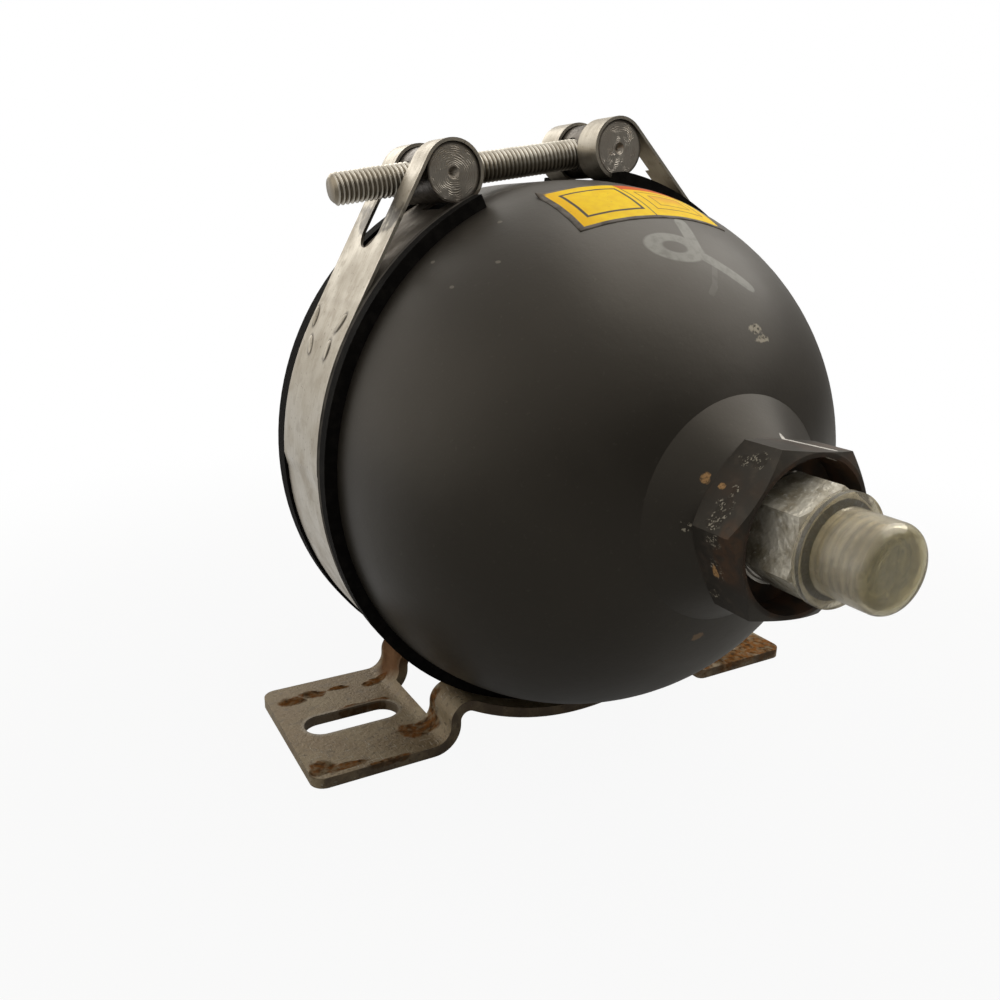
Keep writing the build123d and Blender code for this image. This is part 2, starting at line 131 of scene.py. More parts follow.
# ---- finishes ----
class Finish:
    """The node tree of one finish. Its patterns are measured in millimetres of object space."""

    def __init__(self, name, roughness=0.5, metallic=0.0, specular=0.5, uv=None, uv_size=(1, 1)):
        self.material = bpy.data.materials.new(name)
        self.material.use_nodes = True
        self.tree = self.material.node_tree
        self.shader = self.tree.nodes["Principled BSDF"]
        self.set(Roughness=roughness, Metallic=metallic)
        self.shader.inputs["Specular IOR Level"].default_value = specular
        self.noises = {}
        if uv:
            source = self.add("ShaderNodeUVMap", uv_map=uv).outputs[0]
            centred = self.vector("SUBTRACT", source, (0.5, 0.5, 0))
            self.place = self.vector("MULTIPLY", centred, (*uv_size, 1))
        else:
            source = self.add("ShaderNodeTexCoord").outputs["Object"]
            self.place = self.vector("MULTIPLY", source, (1 / MM,) * 3)

    def feed(self, socket, value):
        """Link an output to a socket, or set the socket to a number, vector or colour."""
        if isinstance(value, bpy.types.NodeSocket):
            self.tree.links.new(value, socket)
        elif socket.type == "RGBA" and len(value) == 3:
            socket.default_value = (*value, 1)
        else:
            socket.default_value = value

    def add(self, kind, *values, **settings):
        """New node with its settings and its first inputs."""
        node = self.tree.nodes.new(kind)
        for key, value in settings.items():
            setattr(node, key, value)
        for index, value in enumerate(values):
            if value is not None:
                self.feed(node.inputs[index], value)
        return node

    def set(self, **inputs):
        """Feed the shader's own inputs by name, with _ for a space."""
        for name, value in inputs.items():
            self.feed(self.shader.inputs[name.replace("_", " ")], value)

    def math(self, operation, a, b=0.0):
        return self.add("ShaderNodeMath", a, b, operation=operation).outputs[0]

    def vector(self, operation, a, b=(0, 0, 0)):
        return self.add("ShaderNodeVectorMath", a, b, operation=operation).outputs[0]

    def length(self, a):
        return self.add("ShaderNodeVectorMath", a, operation="LENGTH").outputs["Value"]

    def parts(self, a):
        return self.add("ShaderNodeSeparateXYZ", a).outputs

    def span(self, value, low, high, out_low=0.0, out_high=1.0):
        """Smooth step from out_low at low to out_high at high."""
        return self.add("ShaderNodeMapRange", value, low, high, out_low, out_high,
                        interpolation_type="SMOOTHSTEP").outputs[0]

    def mix(self, factor, a, b):
        """Colour a where the factor is 0, colour b where it is 1."""
        node = self.add("ShaderNodeMix", factor, data_type="RGBA")
        self.feed(node.inputs[6], a)
        self.feed(node.inputs[7], b)
        return node.outputs[2]

    def noise(self, scale, detail=3.0, stretch=(1, 1, 1)):
        """Cloudy value round 0.5, that many waves per millimetre, finer along a larger stretch."""
        key = (scale, detail, stretch)
        if key not in self.noises:
            source = self.place
            if stretch != (1, 1, 1):
                source = self.vector("MULTIPLY", source, stretch)
            node = self.add("ShaderNodeTexNoise")
            self.feed(node.inputs["Vector"], source)
            node.inputs["Scale"].default_value = scale
            node.inputs["Detail"].default_value = detail
            self.noises[key] = node.outputs[0]
        return self.noises[key]

    def seen_from(self, centre, along, normal, sizes=(1, 1, 1)):
        """The place in a frame at the centre, x along and z normal, divided by the sizes."""
        z = Vector(normal).normalized()
        x = (Vector(along) - Vector(along).dot(z) * z).normalized()
        node = self.add("ShaderNodeMapping", self.place, vector_type="TEXTURE")
        node.inputs["Location"].default_value = centre
        node.inputs["Rotation"].default_value = Matrix((x, z.cross(x), z)).transposed().to_euler()
        node.inputs["Scale"].default_value = sizes
        return node.outputs[0]

    def spot(self, centre, sizes, along=(1, 0, 0), normal=(0, 0, 1), ragged=0.9, grain=0.4):
        """Patch that is 1 within an ellipsoid, with an edge that noise breaks up."""
        far = self.length(self.seen_from(centre, along, normal, sizes))
        torn = self.math("ADD", self.math("MULTIPLY", self.noise(grain, 4.0), ragged), far)
        return self.span(torn, 1.1 + ragged / 2, 0.7 + ragged / 2)

    def spots(self, places, **settings):
        """Largest of the patches at several (centre, sizes)."""
        return self.either(*[self.spot(centre, sizes, **settings) for centre, sizes in places])

    def stroke(self, start, end, half_width, normal):
        """Straight brush stroke of that half width, 1 inside and soft at its edge."""
        start, end = np.array(start, float), np.array(end, float)
        half = np.linalg.norm(end - start) / 2 + half_width
        local = self.seen_from(tuple((start + end) / 2), tuple(end - start), normal,
                               (half, half_width, 4.0))
        x, y, z = self.parts(self.vector("ABSOLUTE", local))
        blunt = self.math("POWER", x, 8.0)
        edge = self.math("MAXIMUM", self.math("ADD", self.math("POWER", y, 2.0), blunt), z)
        return self.span(edge, 1.1, 0.6)

    def hoop(self, centre, sizes, half_width, along, normal):
        """Ring-shaped brush stroke on an ellipse of those half sizes."""
        local = self.seen_from(centre, along, normal, (*sizes, 5.0))
        flat = self.vector("MULTIPLY", local, (1, 1, 0))
        off = self.math("ABSOLUTE", self.math("SUBTRACT", self.length(flat), 1.0))
        deep = self.math("ABSOLUTE", self.parts(local)[2])
        edge = self.math("MAXIMUM", self.math("MULTIPLY", off, 1 / half_width), deep)
        return self.span(edge, 1.1, 0.7)

    def either(self, *masks):
        """Largest of several masks."""
        found = masks[0]
        for mask in masks[1:]:
            found = self.math("MAXIMUM", found, mask)
        return found

    def both(self, a, b):
        return self.math("MULTIPLY", a, b)

    def bump(self, height, distance, normal=None, strength=1.0):
        """Relief of a height from 0 to 1 over that distance in millimetres."""
        node = self.add("ShaderNodeBump")
        node.inputs["Strength"].default_value = strength
        node.inputs["Distance"].default_value = distance * MM
        self.feed(node.inputs["Height"], height)
        if normal:
            self.feed(node.inputs["Normal"], normal)
        return node.outputs[0]


def axis_radius(f):
    """Distance from the vessel's axis."""
    local = f.seen_from((0, 0, AXIS_H), (1, 0, 0), (0, 0, 1))
    return f.length(f.vector("MULTIPLY", local, (1, 0, 1)))


PAINT = (0.0175, 0.0150, 0.0118)
PAINT_WORN = (0.060, 0.053, 0.044)
PALE_MARK = (0.20, 0.205, 0.19)
CHIP = (0.34, 0.31, 0.25)
RUST = (0.20, 0.075, 0.022)
RUST_DARK = (0.050, 0.022, 0.010)
RUST_PALE = (0.42, 0.24, 0.10)


def painted(name, marks=False):
    """Satin dark paint with faint clouds and dust; with marks, those of the front half too."""
    f = Finish(name, specular=0.42)
    f.shader.inputs["Specular Tint"].default_value = (1.0, 0.93, 0.83, 1)
    clouds = f.noise(0.035, 5.0)
    fine = f.noise(0.9, 4.0)
    colour = f.mix(f.span(clouds, 0.35, 0.7), PAINT, tuple(c * 1.25 for c in PAINT))
    colour = f.mix(f.span(fine, 0.62, 0.78, 0.0, 0.25), colour, PAINT_WORN)
    colour = f.mix(f.span(f.noise(2.6, 2.0), 0.70, 0.76, 0.0, 0.35), colour, PAINT_WORN)
    rough = f.span(clouds, 0.3, 0.7, 0.38, 0.46)
    if marks:
        colour, rough = front_marks(f, colour, rough)
    relief = f.bump(f.noise(1.4, 3.0), 0.018)
    relief = f.bump(f.noise(0.09, 3.0), 0.12, relief)
    f.set(Base_Color=colour, Roughness=rough, Normal=relief)
    return f.material


def on_dome(x, y, z):
    """Place on the front dome nearest a point of the clamp's frame, and outward direction there."""
    centre = np.array([0, DOME_Y, 0])
    out = np.array([x, y, z]) - centre
    out = out / np.linalg.norm(out)
    return tuple(from_clamp(centre + out * VESSEL_R)), clamp_direction(*out)


# places and half sizes of the front half's marks, in the object's frame
SMALL_CHIPS = [(place, (0.7, 0.7, 0.4)) for place in (
    (-34.0, -30.6, 141.2), (-40.3, -41.3, 132.6), (-48.7, -25.2, 132.0),
    (-49.4, -36.5, 127.0), (-36.5, -44.0, 136.0), (-25.0, -62.0, 125.0))]
NICKS = ((on_dome(14.9, -72.5, 37.3)[0], (2.1, 2.1, 1.2)),
         (on_dome(15.7, -73.4, 34.9)[0], (2.5, 2.3, 0.8)))
HEXAGON_RUST = (((-17.6, -96.5, 75.0), (4.5, 3.5, 5.5)), ((-19.0, -99.0, 81.0), (3.0, 3.0, 6.0)),
                ((9.0, -95.5, 95.0), (8.0, 6.0, 3.0)))
HEXAGON_CHIPS = (
    ((-10.8, -92.2, 95.7), (1.5, 2.0, 1.3)), ((-10.4, -95.6, 96.4), (2.4, 2.2, 1.8)),
    ((-14.7, -94.4, 90.4), (1.2, 1.2, 1.2)), ((-17.2, -94.2, 87.0), (2.6, 2.4, 2.4)),
    ((-19.2, -94.1, 84.0), (1.8, 2.6, 2.2)), ((-20.0, -94.6, 80.6), (1.6, 2.4, 2.4)),
    ((-16.4, -93.2, 73.4), (2.0, 2.0, 3.4)), ((-13.6, -90.3, 66.2), (1.4, 1.6, 1.4)),
    ((-19.5, -86.3, 81.3), (1.6, 2.2, 1.4)))
RUST_FLAKES = (((-15.9, -86.8, 91.4), (1.1, 1.0, 1.6)), ((-14.8, -90.5, 90.2), (0.7, 1.0, 1.1)),
               ((-16.4, -92.6, 72.4), (1.0, 1.0, 1.9)))


def brushed_loop(f, colour, brush):
    """A pale looped stroke of thin paint on the dome, with a fainter one below it."""
    def dash(a, b, half_width):
        start, normal = on_dome(*a)
        end, _ = on_dome(*b)
        return f.stroke(start, end, half_width, normal)

    middle, normal = on_dome(5.9, -57.2, 56.2)
    loop = f.either(
        f.hoop(middle, (5.4, 3.35), 0.46, clamp_direction(1, -0.25, -0.3), normal),
        dash((10.5, -58.9, 54.2), (20.6, -64.9, 45.0), 1.65),
        dash((14.2, -49.6, 60.2), (11.0, -58.9, 54.3), 1.95))
    faint = f.either(
        dash((9.3, -66.0, 47.4), (7.2, -67.3, 46.3), 0.9),
        dash((13.2, -62.0, 51.2), (9.6, -65.8, 47.8), 0.8))
    colour = f.mix(f.both(loop, f.span(brush, 0.25, 0.6, 0.45, 0.85)), colour, PALE_MARK)
    return f.mix(f.both(faint, f.span(brush, 0.3, 0.6, 0.05, 0.18)), colour, PALE_MARK)


def dome_marks(f, colour):
    """Chips on the dome and its scuffed crown under the bolt; gives the larger nicks' mask too."""
    nicks = f.spots(NICKS, ragged=1.2, grain=0.9)
    patchy = f.span(f.noise(0.95, 3.0), 0.34, 0.50)
    colour = f.mix(f.both(nicks, patchy), colour, CHIP)
    colour = f.mix(f.both(f.spots(SMALL_CHIPS, ragged=0.8, grain=1.2), 0.3), colour, CHIP)
    leak = f.spot((-5.1, -77.3, 49.0), (1.9, 1.6, 1.4), ragged=1.6, grain=0.6)
    colour = f.mix(f.both(leak, 0.35), colour, RUST_PALE)
    scuff = f.spot((-16, -6, 150), (20, 8, 8), ragged=1.8, grain=0.12)
    worn = f.both(scuff, f.span(f.noise(0.30, 6.0, (1, 2.0, 1)), 0.40, 0.68, 0.0, 0.5))
    return f.mix(worn, colour, (0.20, 0.185, 0.16)), nicks


def hexagon_marks(f, colour, brush):
    """Worn and chipped hexagon with a painted highlight along its top flat, and a rusty counterbore
    darkened further with painted shade; also gives the mask of what is rough.
    """
    depth = f.parts(f.place)[1]
    radius = axis_radius(f)
    hexagon = f.span(depth, NECK_END_Y, NECK_END_Y - 2.0)
    worn = f.both(hexagon, f.span(f.noise(0.35, 4.0), 0.5, 0.75, 0.0, 0.6))
    colour = f.mix(worn, colour, (0.055, 0.042, 0.032))
    # painted shade: the counterbore's floor and walls, dark rust darkened to nearly black where
    # shade falls in it
    rim = f.both(f.both(hexagon, f.span(radius, 18.6, 17.2)), f.span(radius, 12.0, 13.0))
    stain_and_shade = f.mix(f.span(f.noise(0.22, 4.0), 0.35, 0.6), RUST_DARK, (0.018, 0.012, 0.009))
    colour = f.mix(f.both(rim, 0.85), colour, stain_and_shade)
    tint = f.both(f.spots(HEXAGON_RUST, ragged=1.2, grain=0.25), f.span(brush, 0.3, 0.65, 0.1, 0.6))
    colour = f.mix(tint, colour, (0.085, 0.040, 0.018))
    chips = f.spots(HEXAGON_CHIPS, ragged=1.5, grain=0.8)
    speck = f.noise(2.1, 2.0)
    crowd = f.both(f.span(f.noise(0.75, 2.0), 0.46, 0.58), f.span(speck, 0.50, 0.60))
    colour = f.mix(f.both(chips, crowd), colour, CHIP)
    flakes = f.spots(RUST_FLAKES, ragged=1.6, grain=0.9)
    colour = f.mix(f.both(flakes, f.span(speck, 0.3, 0.55, 0.35, 0.95)), colour, RUST_PALE)
    # painted highlight: a bright strip along the top flat of the hexagon, for light caught along it
    highlight_stroke = f.stroke((4.4, -87.4, 97.7), (7.2, -99.0, 97.3), 0.75, (-0.1, 0, 1))
    painted_highlight = f.both(highlight_stroke, f.span(f.noise(1.6, 3.0), 0.3, 0.5, 0.5, 1.0))
    return f.mix(painted_highlight, colour, (0.72, 0.70, 0.66)), f.either(rim, chips, flakes)


def front_marks(f, colour, rough):
    """Marks of the front half: looped stroke, nicks, scuffs, chipped hexagon with a painted
    highlight, rusty counterbore with painted shade.
    """
    brush = f.noise(0.5, 4.0)
    colour = brushed_loop(f, colour, brush)
    colour, nicks = dome_marks(f, colour)
    colour, broken = hexagon_marks(f, colour, brush)
    return colour, f.math("ADD", rough, f.both(f.either(broken, nicks), 0.3))


def strap_mottle_and_shade(f, colour):
    """Mottling, painted shade round the dashes, and the inner band darkened with painted shade and
    reflection; gives that band's mask too.
    """
    colour = f.mix(f.span(f.noise(0.30, 5.0), 0.50, 0.70, 0.0, 0.35), colour, (0.24, 0.205, 0.155))
    # painted shade: a dark ring round each pressed dash
    ring = f.either(*[f.spot(*dash_place(ends, 0.9), ragged=0.25) for ends in DASH_ENDS])
    colour = f.mix(f.both(ring, 0.9), colour, (0.075, 0.062, 0.048))
    # painted shade and reflection: the strap's inner layer by the left loop, darkened where it runs
    # under the trunnion
    up_leg = clamp_direction(math.sin(LEG_ANGLE), 0, -math.cos(LEG_ANGLE))
    risen, inward, _ = f.parts(f.seen_from((0, 0, AXIS_H), up_leg, (0, 1, 0)))
    left_of_top = f.both(f.span(risen, 5.0, 11.0), f.span(inward, -25.0, -40.0))
    inner = f.both(left_of_top, f.span(axis_radius(f), STRAP_OUT + 0.45, STRAP_OUT + 0.15))
    inner_band_shade = f.both(inner, f.span(f.noise(0.16, 5.0), 0.30, 0.62, 0.62, 0.95))
    return f.mix(inner_band_shade, colour, (0.125, 0.104, 0.082)), inner


def stainless(name, dirt_and_shade=(), tone=1.0, mottled_and_shaded=False):
    """Dull rolled stainless: warm grey with grain lines and stains; the last flag adds the strap's
    mottling and its painted shade round the dashes and on the inner band.
    """
    f = Finish(name, metallic=1.0)
    clean = tuple(c * tone for c in (0.43, 0.398, 0.34))
    stain_and_shade = tuple(c * tone for c in (0.33, 0.295, 0.24))
    grain = f.noise(0.5, 4.0, (0.25, 6.0, 0.25))
    cloud = f.noise(0.11, 5.0)
    colour = f.mix(f.span(cloud, 0.42, 0.72, 0.0, 0.75), clean, stain_and_shade)
    colour = f.mix(f.span(grain, 0.35, 0.65, 0.0, 0.22), colour, stain_and_shade)
    pits = f.span(f.noise(1.3, 2.0), 0.66, 0.72, 0.0, 0.6)
    colour = f.mix(pits, colour, (0.09, 0.075, 0.06))
    rough = f.math("ADD", f.span(cloud, 0.3, 0.7, 0.37, 0.54), f.span(grain, 0.3, 0.7, -0.04, 0.06))
    if dirt_and_shade:
        smear = f.spots(dirt_and_shade, ragged=1.4, grain=0.35)
        colour = f.mix(f.both(smear, 0.8), colour, (0.045, 0.038, 0.032))
    if mottled_and_shaded:
        colour, inner = strap_mottle_and_shade(f, colour)
        rough = f.math("ADD", rough, f.both(inner, 0.25))
    f.set(Base_Color=colour, Roughness=rough, Normal=f.bump(grain, 0.03, f.bump(cloud, 0.12)))
    return f.material


def turned_barrel(name, side):
    """Turned stainless of a trunnion: concentric tool marks on its ends, cloudy stains, and painted
    shade round its rim and side where the strap's loop wraps it.
    """
    f = Finish(name, metallic=1.0)
    centre = tuple(from_clamp([side * TRUNNION_X, 0, TRUNNION_Z]))
    local = f.seen_from(centre, clamp_direction(1, 0, 0), (0, 1, 0))
    radius = f.length(f.vector("MULTIPLY", local, (1, 1, 0)))
    wander = f.noise(0.35, 2.0)
    wavy = f.math("ADD", radius, f.math("MULTIPLY", wander, 1.5))
    rings = f.math("SINE", f.math("MULTIPLY", wavy, 12.5))
    broken = f.both(rings, f.span(f.noise(0.5, 5.0), 0.40, 0.62))
    cloud = f.noise(0.25, 5.0)
    colour = f.mix(f.span(cloud, 0.35, 0.7), (0.46, 0.425, 0.375), (0.27, 0.24, 0.205))
    colour = f.mix(f.span(broken, 0.1, 0.9, 0.0, 0.35), colour, (0.56, 0.53, 0.475))
    # painted shade: the barrel's rim and side darkened, in the gap where the strap wraps it
    gap_shade = f.span(radius, TRUNNION_R - 0.75, TRUNNION_R - 0.15, 0.0, 0.85)
    colour = f.mix(gap_shade, colour, (0.045, 0.036, 0.028))
    f.set(Base_Color=colour, Roughness=f.span(cloud, 0.3, 0.7, 0.34, 0.5),
          Normal=f.bump(broken, 0.035, f.bump(f.noise(0.8, 4.0), 0.07)))
    return f.material


def threaded(name):
    """Stainless thread: lighter crests and darker grooves, by the distance from the bolt's axis."""
    f = Finish(name, metallic=1.0)
    local = f.seen_from(tuple(from_clamp([0, 0, TRUNNION_Z])), (0, 1, 0), clamp_direction(1, 0, 0))
    radius = f.length(f.vector("MULTIPLY", local, (1, 1, 0)))
    cloud = f.noise(0.18, 4.0)
    crest = f.mix(f.span(cloud, 0.35, 0.7), (0.60, 0.57, 0.51), (0.45, 0.42, 0.36))
    colour = f.mix(f.span(radius, THREAD_R - 0.05, THREAD_R - 0.6), crest, (0.22, 0.19, 0.145))
    f.set(Base_Color=colour, Roughness=f.span(cloud, 0.3, 0.7, 0.28, 0.42),
          Normal=f.bump(f.noise(1.5, 3.0), 0.03))
    return f.material


def zinc(name):
    """Dull zinc plating with pale bloom, dark stains and a little rust."""
    f = Finish(name, metallic=0.55)
    bloom = f.noise(0.22, 6.0)
    stain = f.noise(0.10, 5.0, (1, 0.5, 1))
    colour = f.mix(f.span(bloom, 0.38, 0.66), (0.30, 0.275, 0.225), (0.52, 0.50, 0.43))
    colour = f.mix(f.span(stain, 0.5, 0.7, 0.0, 0.75), colour, (0.16, 0.135, 0.085))
    colour = f.mix(f.span(f.noise(0.9, 4.0), 0.6, 0.75, 0.0, 0.8), colour, (0.66, 0.65, 0.58))
    colour = f.mix(f.span(f.noise(0.16, 4.0), 0.6, 0.72, 0.0, 0.7), colour, RUST)
    f.set(Base_Color=colour, Roughness=f.span(bloom, 0.3, 0.7, 0.62, 0.42),
          Normal=f.bump(f.noise(0.8, 5.0), 0.22, f.bump(bloom, 0.25)))
    return f.material


def fitting_zinc(name):
    """Zinc of the fitting: bloomed hexagon, olive stains near the cap, painted shade where it sits
    deep in the counterbore and in the thread grooves on its nose.
    """
    f = Finish(name, metallic=0.5)
    depth = f.parts(f.place)[1]
    bloom = f.noise(0.25, 6.0)
    colour = f.mix(f.span(bloom, 0.34, 0.58), (0.33, 0.295, 0.225), (0.60, 0.57, 0.49))
    colour = f.mix(f.span(f.noise(0.13, 5.0), 0.54, 0.70, 0.0, 0.65), colour, (0.19, 0.16, 0.09))
    colour = f.mix(f.span(f.noise(1.0, 4.0), 0.58, 0.72, 0.0, 0.7), colour, (0.75, 0.74, 0.69))
    # painted shade: the fitting darkened where it sits deep in the counterbore
    dirt_and_shade = f.both(f.span(depth, -96.5, -92.5), f.span(f.noise(0.3, 4.0), 0.3, 0.6))
    colour = f.mix(f.both(dirt_and_shade, 0.7), colour, (0.05, 0.035, 0.02))
    # painted shade in the grooves of the thread on the nose, seen through the cap
    wavy = f.math("ADD", depth, f.math("MULTIPLY", f.noise(0.22, 2.0), 1.6))
    groove = f.math("SINE", f.math("MULTIPLY", wavy, 2 * math.pi / NOSE_PITCH))
    nose = f.span(depth, FITTING_NOSE_Y, FITTING_NOSE_Y - 0.6)
    groove_shade = f.both(f.span(groove, -0.3, 0.8), f.span(f.noise(0.2, 3.0), 0.35, 0.6, 0.35, 0.95))
    colour = f.mix(f.both(nose, groove_shade), colour, (0.085, 0.062, 0.034))
    relief = f.bump(f.both(nose, groove), 0.5, f.bump(f.noise(0.8, 5.0), 0.3, f.bump(bloom, 0.3)))
    f.set(Base_Color=colour, Roughness=f.span(bloom, 0.3, 0.7, 0.62, 0.45), Normal=relief)
    return f.material


def rubber(name, lit_lip_edge=True):
    """Black rubber, matt, with a painted highlight along the outer edge of its front lip, where it
    catches the light.
    """
    f = Finish(name, roughness=0.85, specular=0.06)
    cloud = f.span(f.noise(0.3, 5.0), 0.4, 0.7)
    colour = f.mix(cloud, (0.0045, 0.004, 0.0036), (0.010, 0.009, 0.008))
    if lit_lip_edge:
        # painted highlight: a pale line along the front lip's outer edge
        lip_r = VESSEL_R + LINER_LIP_R
        edge = f.span(axis_radius(f), lip_r - 0.25, lip_r - 0.05)
        depth = f.parts(f.place)[1]
        front_lip = f.both(f.span(depth, -16.3, -15.8), f.span(depth, -14.2, -14.8))
        lip_highlight = f.both(f.both(edge, front_lip), f.span(f.noise(0.25, 4.0), 0.3, 0.6, 0.35, 0.9))
        colour = f.mix(lip_highlight, colour, (0.11, 0.10, 0.088))
    f.set(Base_Color=colour, Normal=f.bump(f.noise(1.2, 4.0), 0.1))
    return f.material


# places and half sizes of the bracket's rust, its left foot first
RUST_PATCHES = (
    ((-75.8, 16.8, 3), (4.6, 2.8, 3)), ((-70.6, 18.0, 3), (4.4, 2.6, 3)),
    ((-61.5, 18.4, 3), (3.2, 1.5, 2)), ((-51.5, 16.4, 3), (3.6, 1.6, 3)),
    ((-47.5, 17.8, 4), (4.0, 1.8, 3)), ((-60.5, 5.6, 2.2), (6.5, 1.4, 3)),
    ((-54.0, 5.4, 2.2), (4.5, 1.6, 3)), ((-51.0, -15.0, 3), (5.0, 4.2, 3)),
    ((-46.0, -15.4, 5), (3.5, 3.6, 4)), ((-45.0, -13.0, 12), (3, 2.2, 8)),
    ((-79.5, -20.8, 3), (4.0, 3.4, 2)), ((-73.5, -22.5, 3), (6.0, 1.6, 2)),
    ((-62, -25.4, 3), (7.0, 1.2, 1.5)), ((62, -22, 3), (12, 6, 3)),
    ((76, -20, 3), (10, 8, 3)), ((50, -18, 5), (8, 10, 5)))


def slot_marks(f, colour):
    """Eased bright edge round each foot slot, and darker metal inside it."""
    from_slot = f.vector("SUBTRACT", f.vector("ABSOLUTE", f.place), (SLOT_X, 0, 0))
    x, y, z = f.parts(from_slot)
    past = f.math("MAXIMUM", f.math("SUBTRACT", f.math("ABSOLUTE", x), SLOT_STRAIGHT), 0.0)
    radius = f.length(f.add("ShaderNodeCombineXYZ", past, y).outputs[0])
    eased = f.both(f.span(radius, SLOT_R + 1.4, SLOT_R + 0.4), f.span(z, SHEET - 0.8, SHEET - 0.3))
    colour = f.mix(f.both(eased, 0.55), colour, (0.36, 0.32, 0.26))
    inside = f.span(radius, SLOT_R + 0.15, SLOT_R + 0.05)
    return f.mix(f.both(inside, 0.6), colour, (0.075, 0.048, 0.028))


def weathered_bracket(name):
    """Old zinc on pressed steel: grey-beige with scratches, rust patches, rusty bends and edges."""
    f = Finish(name, metallic=0.25)
    cloud = f.noise(0.10, 6.0)
    colour = f.mix(f.span(cloud, 0.35, 0.68), (0.205, 0.150, 0.084), (0.30, 0.243, 0.158))
    colour = f.mix(f.span(f.noise(0.35, 5.0), 0.52, 0.72, 0.0, 0.6), colour, (0.15, 0.12, 0.085))
    depth = f.parts(f.place)[1]
    worn = f.span(depth, 2.0, -14.0, 0.15, 1.0)
    lines = f.either(f.span(f.noise(0.55, 3.0, (4.0, 0.5, 1.0)), 0.62, 0.70, 0.0, 0.55),
                     f.span(f.noise(0.5, 3.0, (0.5, 3.5, 1.0)), 0.63, 0.70, 0.0, 0.5))
    colour = f.mix(f.both(lines, worn), colour, (0.45, 0.41, 0.34))
    grime = f.span(f.noise(0.8, 4.0), 0.58, 0.68, 0.0, 0.65)
    colour = f.mix(f.both(grime, worn), colour, (0.09, 0.062, 0.035))

    rust = f.spots(RUST_PATCHES, ragged=1.4, grain=0.26)
    shin = f.either(f.spot((-43.5, 18.5, 14), (6, 9, 13), ragged=0.8, grain=0.15),
                    f.spot((45, 0, 14), (7, 30, 12), ragged=1.0, grain=0.12))
    shade = f.span(f.noise(0.45, 4.0), 0.35, 0.62)
    shade = f.mix(shade, (0.045, 0.017, 0.004), (0.180, 0.064, 0.012))
    colour = f.mix(f.both(rust, f.span(f.noise(0.6, 4.0), 0.3, 0.6, 0.35, 0.88)), colour, shade)
    stain = f.mix(f.span(cloud, 0.4, 0.6), (0.105, 0.042, 0.018), (0.20, 0.088, 0.040))
    colour = slot_marks(f, f.mix(f.both(shin, 0.75), colour, stain))

    cut = f.either(f.span(depth, 0.25 - BRACKET_HALF_W, 0.05 - BRACKET_HALF_W),
                   f.span(depth, BRACKET_HALF_W - 0.25, BRACKET_HALF_W - 0.05))
    browned = f.both(cut, f.span(f.noise(0.16, 4.0), 0.34, 0.6, 0.3, 0.85))
    colour = f.mix(browned, colour, (0.085, 0.06, 0.04))
    rusted = f.either(rust, shin)
    sound = f.math("SUBTRACT", 1.0, rusted)
    rough = f.math("ADD", f.span(cloud, 0.3, 0.7, 0.5, 0.62), f.both(rusted, 0.22))
    f.set(Base_Color=colour, Roughness=rough, Metallic=f.both(sound, 0.25),
          Specular_IOR_Level=f.both(sound, 0.4),
          Normal=f.bump(f.noise(0.9, 5.0), 0.20, f.bump(f.either(rust, lines), 0.12)))
    return f.material


def clear_cap(name):
    """Clear plastic gone slightly yellow and hazy, darker where it is thick."""
    f = Finish(name, roughness=0.12)
    haze = f.noise(0.14, 5.0)
    depth = f.parts(f.place)[1]
    colour = f.mix(f.span(haze, 0.35, 0.7), (0.93, 0.875, 0.74), (0.80, 0.73, 0.55))
    colour = f.mix(f.span(depth, -120.0, -123.0, 0.0, 0.5), colour, (0.80, 0.74, 0.42))
    f.set(Base_Color=colour, Roughness=f.span(haze, 0.3, 0.7, 0.07, 0.20),
          Normal=f.bump(f.noise(0.25, 4.0), 0.25))
    f.shader.inputs["Transmission Weight"].default_value = 0.82
    f.shader.inputs["IOR"].default_value = 1.42
    return f.material


def plain_steel(name):
    """Machined steel of the rings and inner parts, with fine turning lines."""
    f = Finish(name, metallic=1.0)
    cloud = f.noise(0.2, 4.0)
    colour = f.mix(f.span(cloud, 0.35, 0.7), (0.52, 0.50, 0.47), (0.36, 0.34, 0.31))
    lines = f.math("SINE", f.math("MULTIPLY", axis_radius(f), 7.0))
    f.set(Base_Color=colour, Roughness=f.span(cloud, 0.3, 0.7, 0.3, 0.45),
          Normal=f.bump(lines, 0.03))
    return f.material


LABEL_W, LABEL_H = 43.0, 21.6
LABEL_UV = "label_uv"


